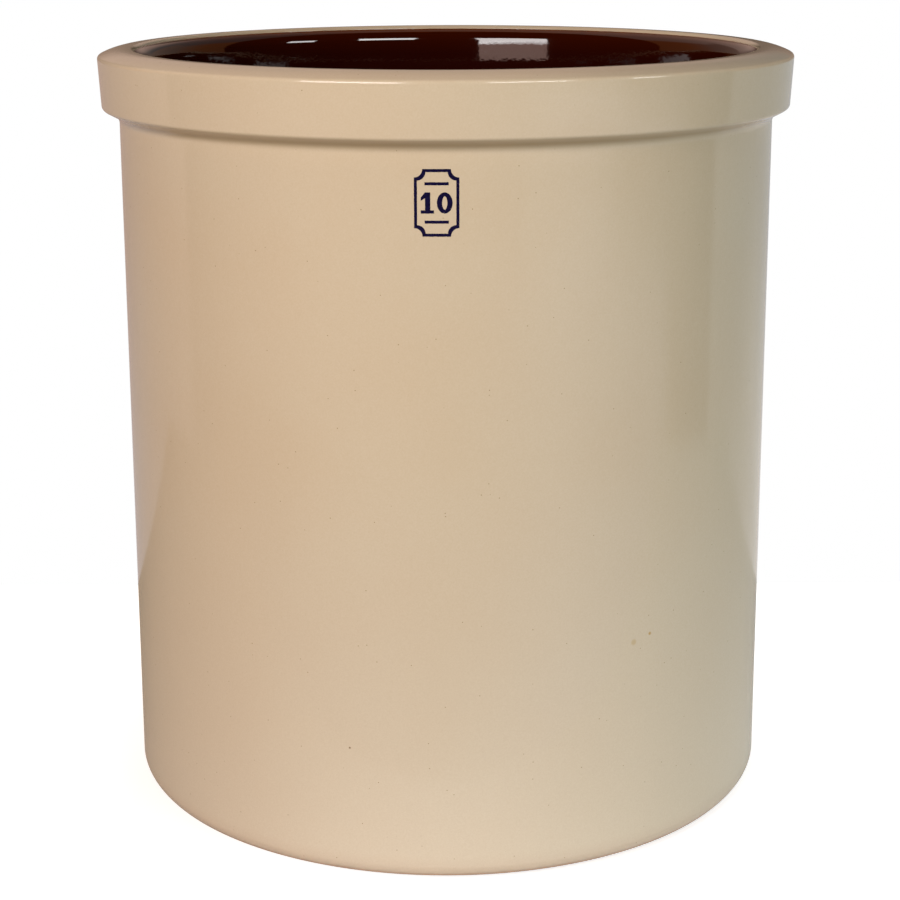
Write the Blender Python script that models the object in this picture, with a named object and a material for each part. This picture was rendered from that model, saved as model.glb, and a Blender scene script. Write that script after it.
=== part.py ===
"""A large stoneware preserving crock: one thick fired body, glazed cream outside and dark brown inside.

Metres, +Z up. The origin is on the crock's axis, in the plane that it stands on.
Every surface is a turned outline of (radius, height) points. The outline runs out along the underside,
up the outside, over the lip and down the inside, so the clay is always on its left and the open side
on its right.
"""
import math

import bmesh
import bpy
from mathutils import Matrix, Vector

# Body: the fired clay, without its glaze
BODY_HEIGHT = 0.4353
WALL_RADIUS = 0.1869
FOOT_FLARE = 0.0029
WALL_AT_RIM = 0.0119
WALL_AT_FOOT = 0.0164
FLOOR_THICKNESS = 0.0189
FLOOR_CORNER_RADIUS = 0.030

# Foot: a rounded heel, a flat ring to stand on, and an underside hollowed so that it can't rock
HEEL_WIDTH = 0.0184
HEEL_HEIGHT = 0.0116
STANDING_RING_WIDTH = 0.022
HOLLOW_DEPTH = 0.0025
HOLLOW_SLOPE_WIDTH = 0.006

# Rim: a raised band with a sloping underside, and a lip that falls outward from a narrow flat land to
# a tight rounded edge
BAND_HEIGHT = 0.0308
BAND_PROUD = 0.0110
BAND_DRAFT = 0.0013
BAND_UNDERSIDE_DROP = 0.0052
BAND_EDGE_RADIUS = 0.0010
COVE_RADIUS = 0.0068
LIP_FALL = 0.0037
LIP_EDGE_RADIUS = 0.0010
RIM_LAND_WIDTH = 0.0038
MOUTH_EASE_WIDTH = 0.0044
MOUTH_EASE_HEIGHT = 0.0151

# Glaze: two coats that meet just inside the lip, and a bare clay foot
COAT_THICKNESS = 0.0008
COAT_EDGE_THICKNESS = 0.0004
COAT_CLEARANCE = 0.0003
GLAZE_LINE_HEIGHT = 0.0042
COLOUR_BREAK_DROP = 0.0017

# Facets round the axis and along each rounding
TURN_STEPS = 64
BARE_HEEL_STEPS = 2
HEEL_STEPS = 5
LIP_STEPS = 5
BREAK_STEPS = 2
MOUTH_STEPS = 4
FLOOR_CORNER_STEPS = 5
FILLET_STEPS = 3
FILLET_REACH_SHARE = 0.45
SHARP_ANGLE = math.radians(40)
AXIS_TOLERANCE = 0.00001

# Colours, as sRGB bytes
CLAY_COLOUR = (196, 160, 116)
CREAM_COLOUR = (214, 192, 162)
LINER_COLOUR = (46, 14, 6)


def ellipse_arc(centre, half_width, half_height, start, end, steps):
    """Points on an upright ellipse from one angle to another, both included."""
    points = []
    for step in range(steps + 1):
        angle = start + (end - start) * step / steps
        points.append(centre + Vector((half_width * math.cos(angle), half_height * math.sin(angle))))
    return points


def fillet(before, corner, after, radius, steps):
    """An arc that rounds the corner of two straight lines, kept within both of them."""
    incoming = (corner - before).normalized()
    outgoing = (after - corner).normalized()
    turn = math.atan2(incoming.cross(outgoing), incoming.dot(outgoing))
    reach = FILLET_REACH_SHARE * min((corner - before).length, (after - corner).length)
    setback = min(radius * math.tan(abs(turn) / 2), reach)
    side = math.copysign(1, turn)
    centre_distance = setback / math.tan(abs(turn) / 2)
    start = corner - incoming * setback
    centre = start + Vector((-incoming.y, incoming.x)) * side * centre_distance
    arm = start - centre
    return [centre + Matrix.Rotation(turn * step / steps, 2) @ arm for step in range(steps + 1)]


def foot_radius():
    """The wall widens evenly from under the band down to the heel."""
    return WALL_RADIUS + FOOT_FLARE


def heel_centre():
    """Centre of the rounding between the standing ring and the outside wall."""
    return Vector((foot_radius() - HEEL_WIDTH, HEEL_HEIGHT))


def glaze_line_angle():
    """The angle on the heel at which the outside glaze stops."""
    return -math.asin(1 - GLAZE_LINE_HEIGHT / HEEL_HEIGHT)


def mouth_centre():
    """Centre of the rounding between the rim's land and the inside wall."""
    inside_radius = WALL_RADIUS - WALL_AT_RIM
    return Vector((inside_radius + MOUTH_EASE_WIDTH, BODY_HEIGHT - MOUTH_EASE_HEIGHT))


def mouth_angle(drop):
    """The angle on the mouth's rounding that lies this far below the top of the rim."""
    return math.pi - math.asin(1 - drop / MOUTH_EASE_HEIGHT)


def underside_line():
    """From the axis out over the hollow, across the standing ring and up the heel to the glaze line."""
    ring_outside = heel_centre().x
    ring_inside = ring_outside - STANDING_RING_WIDTH
    hollow = [
        Vector((0, HOLLOW_DEPTH)),
        Vector((ring_inside - HOLLOW_SLOPE_WIDTH, HOLLOW_DEPTH)),
        Vector((ring_inside, 0)),
    ]
    bare_heel = ellipse_arc(
        heel_centre(), HEEL_WIDTH, HEEL_HEIGHT, -math.pi / 2, glaze_line_angle(), BARE_HEEL_STEPS
    )
    return hollow + bare_heel


def lip_line():
    """From the band's outside in to the land: a shallow crown that steepens as it goes out."""
    land_outside = mouth_centre().x + RIM_LAND_WIDTH
    width = WALL_RADIUS + BAND_PROUD - land_outside
    points = []
    for step in range(LIP_STEPS + 1):
        share = 1 - step / LIP_STEPS
        points.append(Vector((land_outside + width * share, BODY_HEIGHT - LIP_FALL * share ** 2)))
    return points


def outside_line():
    """From the glaze line up the heel and the wall, round the band and over the lip to the colour break."""
    heel = ellipse_arc(heel_centre(), HEEL_WIDTH, HEEL_HEIGHT, glaze_line_angle(), 0, HEEL_STEPS)
    band_radius = WALL_RADIUS + BAND_PROUD
    band_base = BODY_HEIGHT - BAND_HEIGHT
    cove = Vector((WALL_RADIUS, band_base - BAND_UNDERSIDE_DROP))
    band_edge = Vector((band_radius - BAND_DRAFT, band_base))
    lip = lip_line()
    break_angle = mouth_angle(COLOUR_BREAK_DROP)
    mouth = ellipse_arc(
        mouth_centre(), MOUTH_EASE_WIDTH, MOUTH_EASE_HEIGHT, math.pi / 2, break_angle, BREAK_STEPS
    )
    return (
        heel
        + fillet(heel[-1], cove, band_edge, COVE_RADIUS, FILLET_STEPS)
        + fillet(cove, band_edge, lip[0], BAND_EDGE_RADIUS, FILLET_STEPS)
        + fillet(band_edge, lip[0], lip[1], LIP_EDGE_RADIUS, FILLET_STEPS)
        + lip[1:]
        + mouth
    )


def inside_line():
    """From just below the colour break down the wall, round the corner and across the floor to the axis."""
    start = mouth_angle(COLOUR_BREAK_DROP + COAT_CLEARANCE)
    mouth = ellipse_arc(mouth_centre(), MOUTH_EASE_WIDTH, MOUTH_EASE_HEIGHT, start, math.pi, MOUTH_STEPS)
    corner = Vector((foot_radius() - WALL_AT_FOOT, FLOOR_THICKNESS))
    floor_centre = Vector((0, FLOOR_THICKNESS))
    floor_corner = fillet(mouth[-1], corner, floor_centre, FLOOR_CORNER_RADIUS, FLOOR_CORNER_STEPS)
    return mouth + floor_corner + [floor_centre]


def square_offset(line, distances):
    """The line moved to its right, square to itself, by a distance for each of its points."""
    moved = []
    for index, point in enumerate(line):
        normals = []
        for first, second in ((index - 1, index), (index, index + 1)):
            if first >= 0 and second < len(line):
                along = (line[second] - line[first]).normalized()
                normals.append(Vector((along.y, -along.x)))
        meeting = normals[0] + normals[-1]
        moved.append(point + meeting * distances[index] * 2 / meeting.length_squared)
    return moved


def coat_section(line, thinned_points):
    """A glaze coat's outline: back along the clay, out again over the coat, thin at the numbered points."""
    under = [COAT_CLEARANCE] * len(line)
    over = [COAT_CLEARANCE + COAT_THICKNESS] * len(line)
    for index in thinned_points:
        over[index] = COAT_CLEARANCE + COAT_EDGE_THICKNESS
    return square_offset(line, under)[::-1] + square_offset(line, over)


def turned_solid(name, outline, ends_on_axis, material):
    """Spins an outline once round the Z axis into one closed object."""
    shape = bmesh.new()
    corners = [shape.verts.new((point.x, 0, point.y)) for point in outline]
    runs = list(zip(corners, corners[1:]))
    if not ends_on_axis:
        runs.append((corners[-1], corners[0]))
    edges = [shape.edges.new(run) for run in runs]
    bmesh.ops.spin(
        shape,
        geom=corners + edges,
        axis=(0, 0, 1),
        cent=(0, 0, 0),
        angle=2 * math.pi,
        steps=TURN_STEPS,
        use_merge=True,
    )
    on_axis = [corner for corner in shape.verts if corner.co.xy.length < AXIS_TOLERANCE]
    bmesh.ops.remove_doubles(shape, verts=on_axis, dist=AXIS_TOLERANCE)
    bmesh.ops.recalc_face_normals(shape, faces=shape.faces)
    mesh = bpy.data.meshes.new(name)
    shape.to_mesh(mesh)
    shape.free()
    mesh.shade_smooth()
    mesh.set_sharp_from_angle(angle=SHARP_ANGLE)
    mesh.materials.append(material)
    solid = bpy.data.objects.new(name, mesh)
    bpy.context.scene.collection.objects.link(solid)
    return solid


def linear(colour):
    """A colour in sRGB bytes as linear red, green, blue and full alpha."""
    channels = []
    for byte in colour:
        share = byte / 255
        channels.append(share / 12.92 if share <= 0.04045 else ((share + 0.055) / 1.055) ** 2.4)
    return channels + [1]


def surface(name, colour, roughness, coat):
    """A plain dielectric surface with an optional glassy coat."""
    material = bpy.data.materials.new(name)
    material.use_nodes = True
    shader = material.node_tree.nodes["Principled BSDF"]
    shader.inputs["Base Color"].default_value = linear(colour)
    shader.inputs["Metallic"].default_value = 0
    shader.inputs["Roughness"].default_value = roughness
    shader.inputs["Coat Weight"].default_value = coat
    return material


def fired_clay():
    """Buff stoneware, dry to the touch where no glaze covers it."""
    return surface("fired_clay", CLAY_COLOUR, roughness=0.85, coat=0)


def cream_glaze():
    """Opaque cream glaze with a soft gloss."""
    return surface("cream_glaze", CREAM_COLOUR, roughness=0.28, coat=0.4)


def liner_glaze():
    """Dark brown slip glaze, glossier than the outside."""
    return surface("liner_glaze", LINER_COLOUR, roughness=0.12, coat=0.8)


def stoneware_body():
    """The clay wall, floor, foot and rim, fired as one piece."""
    outline = underside_line() + outside_line()[1:] + inside_line()
    return turned_solid("stoneware_body", outline, True, fired_clay())


def outer_glaze():
    """The cream coat: it stops short of the foot and laps over the lip."""
    return turned_solid("outer_glaze", coat_section(outside_line(), (0, -1)), False, cream_glaze())


def inner_glaze():
    """The brown coat, from the colour break down the wall and across the floor."""
    return turned_solid("inner_glaze", coat_section(inside_line(), (0,)), True, liner_glaze())


for leftover in list(bpy.data.objects):
    bpy.data.objects.remove(leftover, do_unlink=True)
stoneware_body()
outer_glaze()
inner_glaze()
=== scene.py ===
"""A ten gallon stoneware preserving crock: bare clay foot, cream glaze outside, dark slip glaze inside."""
import math

import bmesh
import bpy
from mathutils import Matrix, Vector


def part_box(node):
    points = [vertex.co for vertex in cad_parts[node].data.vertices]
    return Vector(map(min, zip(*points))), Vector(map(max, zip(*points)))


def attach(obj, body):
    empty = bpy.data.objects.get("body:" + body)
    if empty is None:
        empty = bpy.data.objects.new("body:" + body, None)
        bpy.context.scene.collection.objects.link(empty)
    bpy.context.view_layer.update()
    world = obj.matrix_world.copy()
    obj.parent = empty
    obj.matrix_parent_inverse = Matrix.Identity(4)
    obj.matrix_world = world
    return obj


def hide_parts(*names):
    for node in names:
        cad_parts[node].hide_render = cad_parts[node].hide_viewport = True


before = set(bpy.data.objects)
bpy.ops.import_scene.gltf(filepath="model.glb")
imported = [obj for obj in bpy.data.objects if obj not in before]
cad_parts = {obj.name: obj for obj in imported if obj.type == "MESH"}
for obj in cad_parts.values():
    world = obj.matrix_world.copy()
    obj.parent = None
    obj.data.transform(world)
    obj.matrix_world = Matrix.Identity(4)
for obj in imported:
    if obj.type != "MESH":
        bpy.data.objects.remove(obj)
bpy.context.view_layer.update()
bpy.context.scene.view_settings.view_transform = "Standard"

# The fired clay body
# One thick wall, floor, foot and rim band of buff stoneware clay, jiggered in a plaster mould, finished
# with a wet sponge and fired as one piece. Only the foot is left bare, so that it can't stick to the shelf.
body_top_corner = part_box("stoneware_body")[1]
BODY_HEIGHT = body_top_corner.z
BAND_RADIUS = body_top_corner.x
BAND_PROUD = 0.0110
WALL_RADIUS = BAND_RADIUS - BAND_PROUD
FOOT_FLARE = 0.0029
FOOT_RADIUS = WALL_RADIUS + FOOT_FLARE
WALL_AT_RIM = 0.0119
WALL_AT_FOOT = 0.0164
FLOOR_THICKNESS = 0.0189
FLOOR_CORNER_RADIUS = 0.030
HEEL_WIDTH = 0.0184
HEEL_HEIGHT = 0.0116
STANDING_RING_WIDTH = 0.022
HOLLOW_DEPTH = 0.0025
HOLLOW_SLOPE_WIDTH = 0.006
BAND_HEIGHT = 0.0308
BAND_DRAFT = 0.0013
BAND_UNDERSIDE_DROP = 0.0052
BAND_EDGE_RADIUS = 0.0010
COVE_RADIUS = 0.0068
LIP_FALL = 0.0037
LIP_EDGE_RADIUS = 0.0010
RIM_LAND_WIDTH = 0.0034
MOUTH_EDGE_RADIUS = 0.0014
MOUTH_BEVEL_WIDTH = 0.0032
MOUTH_BEVEL_DROP = 0.0070
BEVEL_FOOT_RADIUS = 0.0089
MOUTH_THROAT_WIDTH = 0.00036
MOUTH_THROAT_DROP = 0.011
THROAT_RADIUS = 0.060
MOUTH_FLARE_WIDTH = 0.0011
MOUTH_FLARE_DROP = 0.025
FLARE_FOOT_RADIUS = 0.150
GLAZE_LINE_HEIGHT = 0.0042
COLOUR_BREAK_DROP = 0.0012
TURN_STEPS = 360
ARC_STEPS = 8
LIP_STEPS = 12
WALL_STEP = 0.009
MERGE_DISTANCE = 0.00001
UNEVENNESS_SHARE = 0.0006
UNEVENNESS_WIDTH = 0.070
CLAY_HEX = "#B58D62"
CLAY_DARK_HEX = "#97714C"
CLAY_GRIT_HEX = "#5B3B25"
CLAY_CLOUD_WIDTH = 0.035
CLAY_TOOTH_WIDTH = 0.0007
CLAY_TOOTH_HEIGHT = 0.00006
CLAY_ROUGHNESS = 0.85
GRIT_SPACING = 0.0018
GRIT_SIZE_SHARE = 0.16


def ellipse_arc(centre, half_width, half_height, start, end, steps):
    """Points on an upright ellipse from one angle to another, both included."""
    points = []
    for step in range(steps + 1):
        angle = start + (end - start) * step / steps
        points.append(centre + Vector((half_width * math.cos(angle), half_height * math.sin(angle))))
    return points


def fillet(before, corner, after, radius):
    """An arc that rounds the corner of two straight lines."""
    incoming = (corner - before).normalized()
    outgoing = (after - corner).normalized()
    turn = math.atan2(incoming.cross(outgoing), incoming.dot(outgoing))
    setback = radius * math.tan(abs(turn) / 2)
    start = corner - incoming * setback
    centre = start + Vector((-incoming.y, incoming.x)) * math.copysign(radius, turn)
    arm = start - centre
    return [centre + Matrix.Rotation(turn * step / ARC_STEPS, 2) @ arm for step in range(ARC_STEPS + 1)]


def evened(line, longest):
    """The line with its long straight runs cut into steps no longer than this."""
    points = [line[0]]
    for first, second in zip(line, line[1:]):
        cuts = max(1, math.ceil((second - first).length / longest))
        points += [first.lerp(second, cut / cuts) for cut in range(1, cuts + 1)]
    return points


def square_offset(line, distances):
    """The line moved to its right, square to itself, by a distance for each of its points."""
    moved = []
    for index, point in enumerate(line):
        normals = []
        for first, second in ((index - 1, index), (index, index + 1)):
            if first >= 0 and second < len(line):
                along = (line[second] - line[first]).normalized()
                normals.append(Vector((along.y, -along.x)))
        meeting = normals[0] + normals[-1]
        moved.append(point + meeting * distances[index] * 2 / meeting.length_squared)
    return moved


heel_centre = Vector((FOOT_RADIUS - HEEL_WIDTH, HEEL_HEIGHT))
glaze_line_angle = -math.asin(1 - GLAZE_LINE_HEIGHT / HEEL_HEIGHT)
flare_foot = Vector((WALL_RADIUS - WALL_AT_RIM, BODY_HEIGHT - MOUTH_FLARE_DROP))
throat = Vector((flare_foot.x + MOUTH_FLARE_WIDTH, BODY_HEIGHT - MOUTH_THROAT_DROP))
bevel_foot = Vector((throat.x + MOUTH_THROAT_WIDTH, BODY_HEIGHT - MOUTH_BEVEL_DROP))
mouth_edge = Vector((bevel_foot.x + MOUTH_BEVEL_WIDTH, BODY_HEIGHT))
colour_break = mouth_edge.lerp(bevel_foot, COLOUR_BREAK_DROP / MOUTH_BEVEL_DROP)


def underside_line():
    """From the axis out over the hollow, across the standing ring and up the heel to the glaze line."""
    ring_inside = heel_centre.x - STANDING_RING_WIDTH
    hollow_outside = Vector((ring_inside - HOLLOW_SLOPE_WIDTH, HOLLOW_DEPTH))
    hollow = [Vector((0, HOLLOW_DEPTH)), hollow_outside, Vector((ring_inside, 0))]
    heel = ellipse_arc(
        heel_centre, HEEL_WIDTH, HEEL_HEIGHT, -math.pi / 2, glaze_line_angle, ARC_STEPS
    )
    return hollow + heel


def lip_line():
    """From the band's outside in to the land: a shallow crown that steepens as it goes out."""
    land_outside = mouth_edge.x + RIM_LAND_WIDTH
    width = BAND_RADIUS - land_outside
    points = []
    for step in range(LIP_STEPS + 1):
        share = 1 - step / LIP_STEPS
        points.append(Vector((land_outside + width * share, BODY_HEIGHT - LIP_FALL * share ** 2)))
    return points


def outside_line():
    """From the glaze line up the heel and the wall, round the band and over the lip to the colour break."""
    heel = ellipse_arc(heel_centre, HEEL_WIDTH, HEEL_HEIGHT, glaze_line_angle, 0, 2 * ARC_STEPS)
    band_base = BODY_HEIGHT - BAND_HEIGHT
    cove = Vector((WALL_RADIUS, band_base - BAND_UNDERSIDE_DROP))
    band_edge = Vector((BAND_RADIUS - BAND_DRAFT, band_base))
    lip = lip_line()
    return (
        heel
        + fillet(heel[-1], cove, band_edge, COVE_RADIUS)
        + fillet(cove, band_edge, lip[0], BAND_EDGE_RADIUS)
        + fillet(band_edge, lip[0], lip[2], LIP_EDGE_RADIUS)
        + lip[1:]
        + fillet(lip[-1], mouth_edge, bevel_foot, MOUTH_EDGE_RADIUS)
        + [colour_break]
    )


def inside_line():
    """From the colour break down the bevel and the wall, round the corner and across the floor."""
    corner = Vector((FOOT_RADIUS - WALL_AT_FOOT, FLOOR_THICKNESS))
    floor_centre = Vector((0, FLOOR_THICKNESS))
    return (
        [colour_break]
        + fillet(colour_break, bevel_foot, throat, BEVEL_FOOT_RADIUS)
        + fillet(bevel_foot, throat, flare_foot, THROAT_RADIUS)
        + fillet(throat, flare_foot, corner, FLARE_FOOT_RADIUS)
        + fillet(flare_foot, corner, floor_centre, FLOOR_CORNER_RADIUS)
        + [floor_centre]
    )


def open_socket(sockets, key):
    """The socket in use with this name, or at this place where several share a name."""
    used = [socket for socket in sockets if socket.enabled]
    if isinstance(key, int):
        return used[key]
    return next(socket for socket in used if socket.name == key)


def add_node(tree, kind, inputs=None, **settings):
    """Adds a node. Each input is a plain value, a node, or a pair of a node and its output's name."""
    node = tree.nodes.new(kind)
    for name, value in settings.items():
        setattr(node, name, value)
    for key, value in (inputs or {}).items():
        socket = open_socket(node.inputs, key)
        if isinstance(value, bpy.types.Node):
            value = (value, 0)
        if isinstance(value, tuple):
            source, output = value
            tree.links.new(open_socket(source.outputs, output), socket)
        else:
            socket.default_value = value
    return node


def linear(hex_colour):
    """An sRGB hex colour as linear red, green, blue and full alpha."""
    channels = []
    for start in (1, 3, 5):
        share = int(hex_colour[start:start + 2], 16) / 255
        channels.append(share / 12.92 if share <= 0.04045 else ((share + 0.055) / 1.055) ** 2.4)
    return channels + [1]


def turning_tree():
    """Turns an outline of (radius, 0, height) points once round Z, with a slight unevenness pressed in."""
    tree = bpy.data.node_groups.new("turned_ware", "GeometryNodeTree")
    for name, kind in (
        ("Outline", "NodeSocketGeometry"),
        ("Turn Steps", "NodeSocketInt"),
        ("Unevenness Share", "NodeSocketFloat"),
        ("Unevenness Width", "NodeSocketFloat"),
        ("Merge Distance", "NodeSocketFloat"),
        ("Finish", "NodeSocketMaterial"),
    ):
        tree.interface.new_socket(name, in_out="INPUT", socket_type=kind)
    tree.interface.new_socket("Ware", in_out="OUTPUT", socket_type="NodeSocketGeometry")
    given = add_node(tree, "NodeGroupInput")
    outline = (given, "Outline")
    count = (add_node(tree, "GeometryNodeAttributeDomainSize", {"Geometry": outline}), "Point Count")
    columns = add_node(tree, "FunctionNodeIntegerMath", {0: (given, "Turn Steps"), 1: 1}, operation="ADD")
    sheet = add_node(tree, "GeometryNodeMeshGrid", {"Vertices X": columns, "Vertices Y": count})
    index = add_node(tree, "GeometryNodeInputIndex")
    column = add_node(tree, "FunctionNodeIntegerMath", {0: index, 1: count}, operation="DIVIDE")
    row = add_node(tree, "FunctionNodeIntegerMath", {0: index, 1: count}, operation="MODULO")
    position = add_node(tree, "GeometryNodeInputPosition")
    corner = add_node(
        tree,
        "GeometryNodeSampleIndex",
        {"Geometry": outline, "Value": position, "Index": row},
        data_type="FLOAT_VECTOR",
    )
    share = add_node(tree, "ShaderNodeMath", {0: column, 1: (given, "Turn Steps")}, operation="DIVIDE")
    angle = add_node(tree, "ShaderNodeMath", {0: share, 1: 2 * math.pi}, operation="MULTIPLY")
    round_corner = add_node(
        tree, "ShaderNodeVectorRotate", {"Vector": corner, "Angle": angle}, rotation_type="Z_AXIS"
    )
    waves = add_node(tree, "ShaderNodeMath", {0: 1.0, 1: (given, "Unevenness Width")}, operation="DIVIDE")
    unevenness = add_node(
        tree, "ShaderNodeTexNoise", {"Vector": round_corner, "Scale": waves, "Detail": 1.0}
    )
    pressed = add_node(
        tree, "ShaderNodeMath", {0: unevenness, 1: (given, "Unevenness Share")}, operation="MULTIPLY"
    )
    kept = add_node(tree, "ShaderNodeMath", {0: 1.0, 1: pressed}, operation="SUBTRACT")
    shrink = add_node(tree, "ShaderNodeCombineXYZ", {"X": kept, "Y": kept, "Z": 1.0})
    place = add_node(tree, "ShaderNodeVectorMath", {0: round_corner, 1: shrink}, operation="MULTIPLY")
    turned_sheet = add_node(tree, "GeometryNodeSetPosition", {"Geometry": sheet, "Position": place})
    closed = add_node(
        tree,
        "GeometryNodeMergeByDistance",
        {"Geometry": turned_sheet, "Distance": (given, "Merge Distance")},
    )
    smooth = add_node(tree, "GeometryNodeSetShadeSmooth", {"Geometry": closed})
    real = add_node(tree, "GeometryNodeRealizeInstances", {"Geometry": smooth})
    finished = add_node(
        tree, "GeometryNodeSetMaterial", {"Geometry": real, "Material": (given, "Finish")}
    )
    add_node(tree, "NodeGroupOutput", {"Ware": finished})
    return tree


turned_ware = turning_tree()


def turned(name, outline, finish):
    """One piece of ware turned from its outline, as a plain mesh object."""
    mesh = bpy.data.meshes.new("outline")
    corners = [(point.x, 0, point.y) for point in outline]
    mesh.from_pydata(corners, [(index, index + 1) for index in range(len(corners) - 1)], [])
    pattern = bpy.data.objects.new("outline", mesh)
    bpy.context.scene.collection.objects.link(pattern)
    turning = pattern.modifiers.new("turning", "NODES")
    turning.node_group = turned_ware
    settings = {
        "Turn Steps": TURN_STEPS,
        "Unevenness Share": UNEVENNESS_SHARE,
        "Unevenness Width": UNEVENNESS_WIDTH,
        "Merge Distance": MERGE_DISTANCE,
        "Finish": finish,
    }
    for socket in turned_ware.interface.items_tree:
        if socket.name in settings:
            turning[socket.identifier] = settings[socket.name]
    evaluated = pattern.evaluated_get(bpy.context.evaluated_depsgraph_get())
    ware = bpy.data.objects.new(name, bpy.data.meshes.new_from_object(evaluated))
    bpy.context.scene.collection.objects.link(ware)
    bpy.data.objects.remove(pattern)
    return ware


def new_finish(name):
    """A material with a bare shader, its node tree, and where a point lies on the crock."""
    finish = bpy.data.materials.new(name)
    finish.use_nodes = True
    tree = finish.node_tree
    tree.nodes.clear()
    place = (add_node(tree, "ShaderNodeTexCoord"), "Object")
    shader = add_node(tree, "ShaderNodeBsdfPrincipled")
    add_node(tree, "ShaderNodeOutputMaterial", {"Surface": shader})
    return finish, tree, place, shader


def fired_clay():
    """Buff stoneware fired bare: dry, matt and sponged smooth, with fine dark grit showing in it."""
    finish, tree, place, shader = new_finish("fired_buff_stoneware")
    cloud = add_node(tree, "ShaderNodeTexNoise", {"Vector": place, "Scale": 1 / CLAY_CLOUD_WIDTH})
    clay = add_node(
        tree,
        "ShaderNodeMix",
        {"Factor": cloud, "A": linear(CLAY_HEX), "B": linear(CLAY_DARK_HEX)},
        data_type="RGBA",
    )
    grain = add_node(tree, "ShaderNodeTexVoronoi", {"Vector": place, "Scale": 1 / GRIT_SPACING})
    grit = add_node(
        tree,
        "ShaderNodeMapRange",
        {
            "Value": (grain, "Distance"),
            "From Min": GRIT_SIZE_SHARE,
            "From Max": GRIT_SIZE_SHARE / 2,
            "To Min": 0.0,
            "To Max": 1.0,
        },
    )
    gritty = add_node(
        tree, "ShaderNodeMix", {"Factor": grit, "A": clay, "B": linear(CLAY_GRIT_HEX)}, data_type="RGBA"
    )
    tooth = add_node(
        tree, "ShaderNodeTexNoise", {"Vector": place, "Scale": 1 / CLAY_TOOTH_WIDTH, "Detail": 3.0}
    )
    bump = add_node(tree, "ShaderNodeBump", {"Height": tooth, "Distance": CLAY_TOOTH_HEIGHT})
    tree.links.new(open_socket(gritty.outputs, 0), shader.inputs["Base Color"])
    tree.links.new(bump.outputs[0], shader.inputs["Normal"])
    shader.inputs["Roughness"].default_value = CLAY_ROUGHNESS
    return finish


clay_outline = underside_line() + outside_line()[1:] + inside_line()[1:]
clay_body = turned("clay_body", evened(clay_outline, WALL_STEP), fired_clay())
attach(clay_body, "root")
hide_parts("stoneware_body")


# The cream glaze coat
# An opaque zinc glaze, poured over the outside down to a sponged line above the foot and fired on. It
# levels into a smooth, softly glossy skin with a faint orange peel, and thins to tan at the foot.
COAT_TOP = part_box("outer_glaze")[1].z
COAT_DEPTH = COAT_TOP - BODY_HEIGHT
COAT_KEYED_IN = 0.0002
FOOT_BEAD_WIDTH = 0.0022
LAP_WIDTH = 0.0040
LAP_SLOPE_WIDTH = 0.0010
LAP_SINK = 0.0004
LAP_STEP = 0.0005
CREAM_HEX = "#D6C4A7"
CREAM_WARM_HEX = "#D1B897"
CREAM_PALE_HEX = "#DECEB4"
CREAM_GRAIN_HEX = "#C0A683"
# painted light: a paler cream for the lower wall, standing in for bounce and reflection from the table
CREAM_PAINTED_BOUNCE_HEX = "#E3D9C8"
CREAM_BLUSH_HEX = "#C0A087"
CREAM_THIN_HEX = "#B28A68"
# painted shade: the darker tone in the cove under the band
CREASE_SHADE_HEX = "#AE9571"
IRON_SPECK_HEX = "#A08260"
CLOUD_WIDTH = 0.090
# painted light: how high up and how strongly the wall is painted paler towards the bottom
PAINTED_BOUNCE_TOP = 0.24
PAINTED_BOUNCE_SHARE = 0.5
MOTTLE_WIDTH = 0.0035
MOTTLE_SHARE = 0.30
GRAIN_WIDTH = 0.0009
GRAIN_SHARE = 0.40
BLUSH_TOP = 0.0190
BLUSH_FULL = 0.0075
BLUSH_SHARE = 0.30
THIN_DRIFT_WIDTH = 0.018
THIN_DRIFT = 0.0016
THIN_LINE_HEIGHT = 0.0050
THICK_LINE_HEIGHT = 0.0085
# painted shade: where the cove under the band is darkened, and over what height
CREASE_SHADE_DROP = 0.0345
CREASE_SHADE_REACH = 0.0045
SPECK_SPACING = 0.0046
SPECK_SIZE_SHARE = 0.08
SPECK_KEPT = 0.72
SPOT_CORE_SHARE = 1 / 3
IRON_SPOTS = (
    ([0.1101, -0.1548, 0.1322], 0.0013, "#C09A62"),
    ([0.1009, -0.1610, 0.1295], 0.0024, "#CBB08A"),
    ([-0.0525, -0.1830, 0.0780], 0.0008, "#7E6444"),
    ([0.0455, -0.1850, 0.1150], 0.0007, "#9A7C58"),
)
PEEL_WIDTH = 0.0030
PEEL_HEIGHT = 0.000012
RIPPLE_WIDTH = 0.028
RIPPLE_HEIGHT = 0.00006
CREAM_ROUGHNESS = 0.10


def lengths_along(line):
    """How far along the line each of its points lies."""
    lengths = [0]
    for first, second in zip(line, line[1:]):
        lengths.append(lengths[-1] + (second - first).length)
    return lengths


def coat_outline(line, depths):
    """A coat's outline: back along the clay, keyed into it, and out again over the coat."""
    return square_offset(line, [-COAT_KEYED_IN] * len(line))[::-1] + square_offset(line, depths)


def cream_coat_outline():
    """The cream coat rises from a bead at the foot, and at the lip it dips under the dark coat."""
    inside = evened(inside_line(), LAP_STEP)
    lapped = [point for point, length in zip(inside, lengths_along(inside)) if 0 < length < LAP_WIDTH]
    line = evened(outside_line() + lapped, WALL_STEP)
    seam = lengths_along(evened(outside_line(), WALL_STEP))[-1]
    depths = []
    for length in lengths_along(line):
        rise = min(length / FOOT_BEAD_WIDTH, 1)
        sink = min(max(length - seam, 0) / LAP_SLOPE_WIDTH, 1)
        depths.append(COAT_DEPTH * math.sqrt(rise * (2 - rise)) - LAP_SINK * sink)
    outline = coat_outline(line, depths)
    return outline + outline[:1]


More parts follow.
